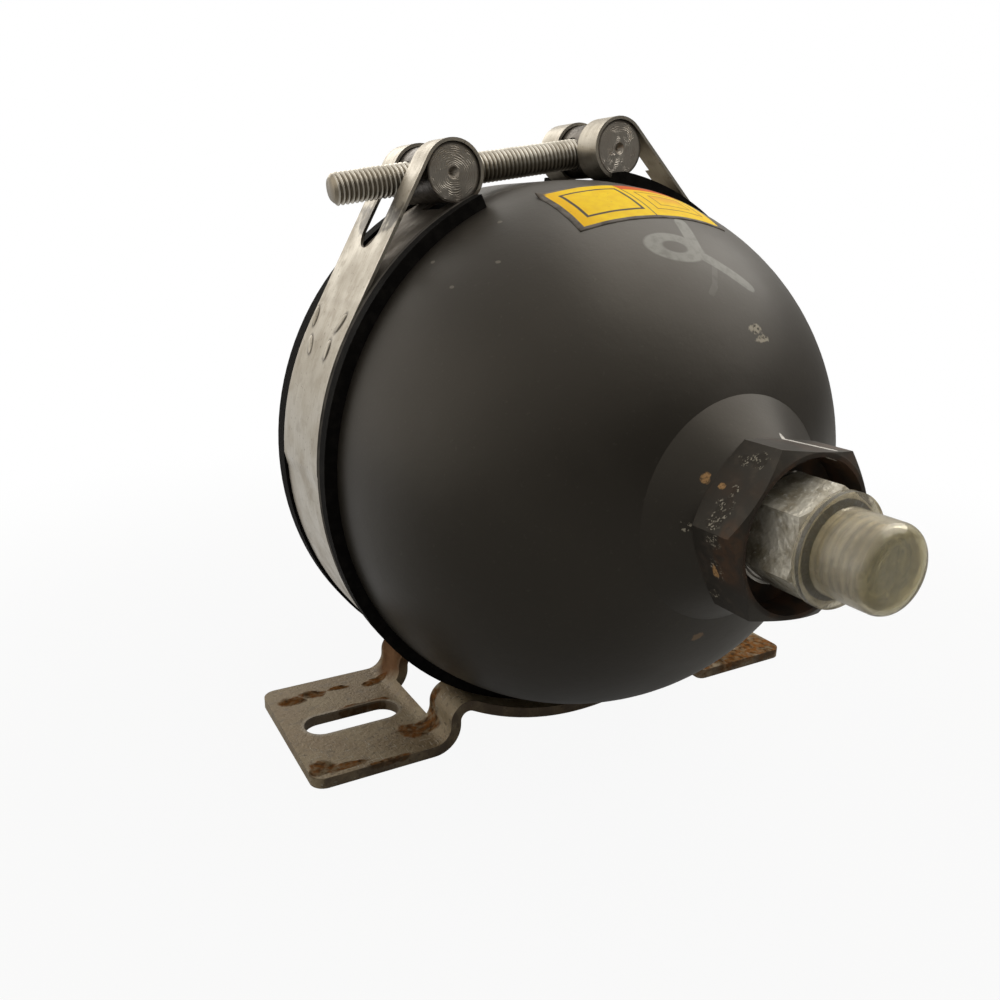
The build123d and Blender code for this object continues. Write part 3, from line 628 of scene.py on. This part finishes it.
def label_print(name):
    """Printed film: yellow field in a grey margin, divider, outlined panels, orange-red band."""
    f = Finish(name, roughness=0.5, specular=0.08, uv=LABEL_UV, uv_size=(LABEL_W, LABEL_H))

    def reach(centre, half):
        """Signed distance in millimetres from the edge of a rectangle, below 0 inside."""
        off = f.vector("ABSOLUTE", f.vector("SUBTRACT", f.place, (*centre, 0)))
        x, y, _ = f.parts(f.vector("SUBTRACT", off, (*half, 0)))
        return f.math("MAXIMUM", x, y)

    def inside(centre, half, soft=0.07):
        return f.span(reach(centre, half), soft, -soft)

    def outlined(centre, half, width, soft=0.07):
        far = f.math("ABSOLUTE", reach(centre, half))
        return f.span(far, width / 2 + soft, width / 2 - soft)

    wear = f.noise(0.35, 5.0)
    margin = f.mix(f.span(wear, 0.4, 0.65), (0.15, 0.135, 0.12), (0.085, 0.075, 0.066))
    yellow = f.mix(f.span(wear, 0.35, 0.7), (0.96, 0.66, 0.018), (0.90, 0.58, 0.022))
    x, y, _ = f.parts(f.place)
    yellow = f.mix(f.span(x, -20.0, -13.0, 0.55, 0.0), yellow, (0.84, 0.42, 0.006))
    ink = (0.085, 0.07, 0.055)
    field = inside((0, 0), (20.0, 9.7))
    left_panel = outlined((-9.6, 0.0), (7.6, 6.4), 0.75)
    divider = inside((-0.2, 0), (0.16, 9.8))
    band = inside((9.9, 7.9), (10.2, 1.9), 0.15)
    right_panel = (9.6, -1.2)
    art = f.mix(left_panel, yellow, ink)
    art = f.mix(divider, art, ink)
    art = f.mix(band, art, (0.70, 0.13, 0.03))
    art = f.mix(outlined(right_panel, (7.2, 5.2), 0.38), art, (0.30, 0.13, 0.025))
    art = f.mix(outlined(right_panel, (4.6, 2.9), 0.33), art, (0.36, 0.16, 0.03))
    glow = f.both(inside(right_panel, (4.4, 2.7)), f.span(y, -4.0, 2.0))
    art = f.mix(f.both(glow, 0.7), art, (0.80, 0.33, 0.05))
    colour = f.mix(field, margin, art)
    grime = f.either(
        f.spot((-21.5, 10.4, 0), (2.6, 2.2, 2), ragged=0.9, grain=0.6),
        f.spot((21, -10.8, 0), (3.4, 1.4, 2), ragged=0.9, grain=0.6))
    colour = f.mix(f.both(grime, 0.85), colour, (0.10, 0.085, 0.07))
    colour = f.mix(f.span(f.noise(1.4, 3.0), 0.68, 0.74, 0.0, 0.5), colour, (0.30, 0.22, 0.09))
    f.set(Base_Color=colour, Normal=f.bump(wear, 0.03))
    return f.material


# ---- surfaces ----
def make_piece(name, points, faces, material, uv=None):
    """Mesh piece from points in millimetres of the object's frame, smooth, riding on the body."""
    mesh = bpy.data.meshes.new(name)
    mesh.from_pydata((np.asarray(points) * MM).tolist(), [], faces)
    mesh.polygons.foreach_set("use_smooth", np.ones(len(mesh.polygons), bool))
    if uv is not None:
        corners = np.zeros(len(mesh.loops), np.int32)
        mesh.loops.foreach_get("vertex_index", corners)
        layer = mesh.uv_layers.new(name=LABEL_UV)
        layer.data.foreach_set("uv", uv[corners].astype(np.float32).ravel())
    mesh.materials.append(material)
    mesh.validate()
    piece = bpy.data.objects.new(name, mesh)
    bpy.context.scene.collection.objects.link(piece)
    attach(piece, BODY)
    return piece


def ring_faces(rows, cols, first):
    """Faces over closed rings of points in order, and fans from a pole before and after them."""
    j = np.arange(cols)
    k = (j + 1) % cols
    i = np.arange(rows - 1)[:, None] * cols + first
    quads = np.stack([i + j, i + k, i + cols + k, i + cols + j], -1).reshape(-1, 4)
    start = np.full(cols, first + rows * cols)
    last = first + (rows - 1) * cols
    fans = np.concatenate([np.stack([start, first + k, first + j], -1),
                           np.stack([start + 1, last + j, last + k], -1)])
    return quads.tolist() + fans.tolist()


def spun(x, radius):
    """Closed surface round the x axis: ring i is at x[i] with radius[i, angle]; poles close it."""
    rows, cols = radius.shape
    angle = np.arange(cols) * 2 * np.pi / cols
    across = np.repeat(x[:, None], cols, 1)
    ring = np.stack([across, radius * np.cos(angle), radius * np.sin(angle)], -1)
    points = np.concatenate([ring.reshape(-1, 3), [[x[0], 0, 0], [x[-1], 0, 0]]])
    return points, ring_faces(rows, cols, 0)


def threaded_rod(material):
    """Helix thread: the radius falls from crest to root with the phase of (x / pitch - turn),
    and no point stands further out than a cone that bevels the tip."""
    rings_per_turn, cols = 10, 44
    x = np.arange(ROD_START, ROD_END, THREAD_PITCH / rings_per_turn)
    turn = np.arange(cols) / cols
    phase = (x[:, None] / THREAD_PITCH - turn) % 1
    ramp = np.clip(np.abs(2 * phase - 1) * 1.35 - 0.2, 0, 1)
    tip = TIP_R + 1.1 * (x - ROD_START)[:, None] + 0 * ramp
    radius = np.minimum(THREAD_R - THREAD_DEPTH * ramp, tip)
    points, faces = spun(x, radius)
    points = from_clamp(points + [0, 0, TRUNNION_Z])
    piece = make_piece("threaded_rod", points, faces, material)
    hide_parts("clamp_bolt")


def bolt_head(material):
    """Socket head: a bevelled side whose knurl is the size of sin(16 angle), and a hexagon socket
    whose radius is its flat's distance over the cosine of the angle from that flat."""
    cols = 192
    angle = np.arange(cols) * 2 * np.pi / cols
    hexagon = SOCKET_R / np.cos((angle + np.pi / 6) % (np.pi / 3) - np.pi / 6)
    knurl = HEAD_R - 0.16 * np.abs(np.sin(16 * angle))
    even = np.ones_like(angle)
    # distance along the bolt and radius there, from its underside over the side into the socket
    x, radius = zip(*(
        (ROD_END, 3.9 * even), (ROD_END, 6.1 * even), (30.3, HEAD_EDGE_R * even),
        (30.7, knurl), (36.9, knurl),
        (37.3, HEAD_EDGE_R * even), (37.8, 6.0 * even), (38.0, 5.5 * even),
        (38.0, 1.12 * hexagon), (37.7, hexagon), (34.1, hexagon), (34.0, 0.97 * hexagon),
        (33.6, 0.6 * even)))
    points, faces = spun(np.array(x), np.array(radius))
    points = from_clamp(points + [0, 0, TRUNNION_Z])
    piece = make_piece("bolt_head", points, faces, material)
    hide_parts("clamp_bolt")


def strap_dashes(material):
    """Four pressed dashes: each a long blunt ellipse, its height the root of 1 - rho squared,
    with its foot sunk into the strap."""
    cols, rows = 40, 9
    sunk, foot = 0.04, -0.3
    angle = np.arange(cols) * 2 * np.pi / cols
    rho = np.sin(np.linspace(0.12, 1, rows) * np.pi / 2)[:, None]
    points, faces = [], []
    for s0, y0, s1, y1 in DASH_ENDS:
        half = math.hypot(s1 - s0, y1 - y0) / 2
        along = np.array([s1 - s0, y1 - y0]) / (2 * half)
        u = half * rho * np.sign(np.cos(angle)) * np.abs(np.cos(angle)) ** 0.7
        v = DASH_HALF_W * rho * np.sin(angle)
        height = DASH_H * np.sqrt(1 - np.minimum(rho, 1) ** 2) + 0 * u - sunk
        height[-1] = foot
        s, y = (s0 + s1) / 2, (y0 + y1) / 2
        ring = on_strap(s + u * along[0] - v * along[1], y + u * along[1] + v * along[0], height)
        poles = on_strap(np.full(2, s), np.full(2, y), np.array([DASH_H - sunk, foot]))
        first = sum(len(p) for p in points)
        points.append(np.concatenate([ring.reshape(-1, 3), poles]))
        faces += ring_faces(rows, cols, first)
    make_piece("strap_dashes", from_clamp(np.concatenate(points)), faces, material)


def label_film(material):
    """Film on the dome: a point (a, c) of the flat rectangle is pushed out along the label's middle
    direction until it lies on the sphere; one corner curls up with the square of its nearness."""
    up, side = math.radians(21.5), math.radians(8.5)
    cos_up, sin_up = math.cos(up), math.sin(up)
    cos_side, sin_side = math.cos(side), math.sin(side)
    outward = np.array([cos_up * sin_side, -sin_up, cos_up * cos_side])
    level = np.array([cos_side, 0, -sin_side])
    rise = np.array([sin_up * sin_side, cos_up, sin_up * cos_side])
    cols, rows = 97, 49
    u, v = np.meshgrid(np.linspace(0, 1, cols), np.linspace(0, 1, rows))
    a, c = (u - 0.5) * LABEL_W, (v - 0.5) * LABEL_H
    near = np.clip(1 - np.hypot(a + LABEL_W / 2, c - LABEL_H / 2) / 4.5, 0, 1)
    waves = 0.02 * np.sin(a * 0.9 + 1.3) * np.sin(c * 1.1)
    layers = []
    for radius in (VESSEL_R + 0.13, VESSEL_R - 0.12):
        lifted = radius + 0.9 * near ** 2 + waves
        out = np.sqrt(lifted ** 2 - a ** 2 - c ** 2)
        layers.append(a[..., None] * level + c[..., None] * rise + out[..., None] * outward)
    points = np.concatenate([layer.reshape(-1, 3) for layer in layers]) + [0, DOME_Y, 0]
    index = np.arange(rows * cols).reshape(rows, cols)
    top = np.stack([index[:-1, :-1], index[:-1, 1:], index[1:, 1:], index[1:, :-1]], -1)
    top = top.reshape(-1, 4)
    below = rows * cols
    edge = np.concatenate([index[0, :-1], index[:-1, -1], index[-1, :0:-1], index[:0:-1, 0]])
    ahead = np.roll(edge, -1)
    rim = np.stack([edge, edge + below, ahead + below, ahead], -1)
    faces = top.tolist() + (top[:, ::-1] + below).tolist() + rim.tolist()
    uv = np.tile(np.stack([u, v], -1).reshape(-1, 2), (2, 1))
    piece = make_piece("label_film", from_clamp(points), faces, material, uv)
    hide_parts("dome_label")


# ---- the finishes go on ----
STRAP_SMEARS = (((-50, 2, 141), (7, 15, 5)), ((-44, -4, 146), (6, 10, 3)),
                ((-50, -11, 141), (6, 4, 4)))
paint = painted("vessel_paint")
inner_steel = plain_steel("machined_steel")
FINISHES = {
    "front_shell": painted("front_paint", marks=True),
    "rear_shell": paint,
    "weld_seam": paint,
    "clamp_ring": inner_steel,
    "valve_button": inner_steel,
    "port_seal_ring": inner_steel,
    "gas_seal_ring": inner_steel,
    "diaphragm": rubber("diaphragm_rubber", lit_lip_edge=False),
    "rubber_liner": rubber("liner_rubber"),
    "port_fitting": fitting_zinc("fitting_zinc"),
    "protective_cap": clear_cap("clear_cap"),
    "gas_screw": zinc("gas_screw_zinc"),
    "clamp_strap": stainless("strap_steel", dirt_and_shade=STRAP_SMEARS, mottled_and_shaded=True),
    "left_trunnion": turned_barrel("left_barrel", -1),
    "right_trunnion": turned_barrel("right_barrel", 1),
    "base_bracket": weathered_bracket("bracket_zinc"),
}
for node, material in FINISHES.items():
    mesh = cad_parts[node].data
    mesh.materials.clear()
    mesh.materials.append(material)

bolt_steel = threaded("bolt_steel")
threaded_rod(bolt_steel)
bolt_head(bolt_steel)
# painted shade: the pressed dashes get a copy of the strap's steel, 8 % darker
strap_dashes(stainless("shaded_dash_steel", tone=0.92))
label_film(label_print("label_print"))

# ---- camera, floor and lights ----
LENS = 31.78
EYE = (-0.1394, -0.2188, 0.1390)
YAW, PITCH, ROLL = 0.5159, 0.2948, 0.0176


def place_camera():
    """Camera that looks along +Y turned by the yaw, down by the pitch, and rolled."""
    ahead = math.cos(PITCH)
    look = Vector((math.sin(YAW) * ahead, math.cos(YAW) * ahead, -math.sin(PITCH)))
    level = Vector((math.cos(YAW), -math.sin(YAW), 0))
    upright = level.cross(look)
    right = math.cos(ROLL) * level + math.sin(ROLL) * upright
    up = -math.sin(ROLL) * level + math.cos(ROLL) * upright
    data = bpy.data.cameras.new("camera")
    data.lens = LENS
    data.sensor_width = 36
    data.clip_start = 0.01
    camera = bpy.data.objects.new("camera", data)
    turn = Matrix((right, up, -look)).transposed().to_4x4()
    camera.matrix_world = Matrix.Translation(EYE) @ turn
    bpy.context.scene.collection.objects.link(camera)
    bpy.context.scene.camera = camera


def area_light(name, place, target, size, power, tint=(1, 1, 1)):
    """Square soft lamp at a place, turned to its target."""
    data = bpy.data.lights.new(name, "AREA")
    data.size = size
    data.energy = power
    data.color = tint
    lamp = bpy.data.objects.new(name, data)
    lamp.location = place
    lamp.rotation_euler = (Vector(target) - Vector(place)).to_track_quat("-Z", "Y").to_euler()
    bpy.context.scene.collection.objects.link(lamp)


place_camera()
WARM = (1.0, 0.965, 0.905)
area_light("overhead", (0.55, -0.12, 0.95), (0, 0, 0.08), 1.2, 10.5, WARM)
area_light("left_side", (-0.95, 0.20, 0.30), (0, 0, 0.08), 1.1, 2.6, WARM)
area_light("back", (-0.1, 0.9, 0.6), (0, 0, 0.1), 0.6, 2.5, WARM)

bpy.context.scene.view_settings.view_transform = "Standard"

FILL = 0.30                                # the world's strength in diffuse light
LIT_SIDE = (-0.40, 0.55, 0.73)             # where its reflected light is brightest
LIT_FADE = (-0.45, 0.75, 0.10, 0.95)       # how that light falls off: from, to, dimmest, brightest


def studio_world():
    """White to the eye; in reflections light above and round the back, dimmer toward the front."""
    world = bpy.data.worlds.new("world")
    bpy.context.scene.world = world
    world.use_nodes = True
    tree = world.node_tree
    plain = tree.nodes["Background"]
    plain.inputs["Color"].default_value = (*WARM, 1)
    plain.inputs["Strength"].default_value = FILL
    mirrored = tree.nodes.new("ShaderNodeBackground")
    mirrored.inputs["Color"].default_value = (*WARM, 1)
    seen = tree.nodes.new("ShaderNodeBackground")
    seen.inputs["Color"].default_value = (1, 1, 1, 1)
    seen.inputs["Strength"].default_value = 1.0
    way = tree.nodes.new("ShaderNodeTexCoord")
    facing = tree.nodes.new("ShaderNodeVectorMath")
    facing.operation = "DOT_PRODUCT"
    facing.inputs[1].default_value = LIT_SIDE
    fade = tree.nodes.new("ShaderNodeMapRange")
    fade.interpolation_type = "SMOOTHSTEP"
    for index, value in enumerate(LIT_FADE, 1):
        fade.inputs[index].default_value = value
    path = tree.nodes.new("ShaderNodeLightPath")
    shiny = tree.nodes.new("ShaderNodeMath")
    shiny.operation = "MAXIMUM"
    near = tree.nodes.new("ShaderNodeMixShader")
    final = tree.nodes.new("ShaderNodeMixShader")
    link = tree.links.new
    link(way.outputs["Generated"], facing.inputs[0])
    link(facing.outputs["Value"], fade.inputs[0])
    link(fade.outputs[0], mirrored.inputs["Strength"])
    link(path.outputs["Is Glossy Ray"], shiny.inputs[0])
    link(path.outputs["Is Transmission Ray"], shiny.inputs[1])
    link(shiny.outputs[0], near.inputs[0])
    link(plain.outputs[0], near.inputs[1])
    link(mirrored.outputs[0], near.inputs[2])
    link(path.outputs["Is Camera Ray"], final.inputs[0])
    link(near.outputs[0], final.inputs[1])
    link(seen.outputs[0], final.inputs[2])
    link(final.outputs[0], tree.nodes["World Output"].inputs["Surface"])


def studio_floor():
    """Pale floor: nearly white to the eye, with a soft shadow, and pure white further off."""
    bpy.ops.mesh.primitive_plane_add(size=6, location=(0, 0, 0))
    floor = bpy.context.object
    floor.name = "floor"
    f = Finish("floor_white", roughness=0.9, specular=0.1)
    cloud = f.span(f.noise(0.01, 2.0), 0.4, 0.6)
    f.set(Base_Color=f.mix(cloud, (0.34, 0.34, 0.33), (0.36, 0.36, 0.35)))
    white = f.add("ShaderNodeEmission", (1.0, 1.0, 1.0), 1.0)
    path = f.add("ShaderNodeLightPath").outputs
    shown = f.both(path["Is Camera Ray"], f.span(f.length(f.place), 130.0, 380.0, 0.93, 1.0))
    x, y, _ = f.parts(f.place)
    back_left = f.both(f.span(y, -60.0, 100.0), f.span(x, -20.0, -80.0, 0.0, 0.68))
    mirrored = f.both(f.either(path["Is Glossy Ray"], path["Is Transmission Ray"]),
                      f.math("ADD", back_left, 0.12))
    mixed = f.add("ShaderNodeMixShader", f.either(shown, mirrored), f.shader.outputs[0],
                  white.outputs[0])
    f.tree.links.new(mixed.outputs[0], f.tree.nodes["Material Output"].inputs["Surface"])
    floor.data.materials.append(f.material)


studio_world()
studio_floor()
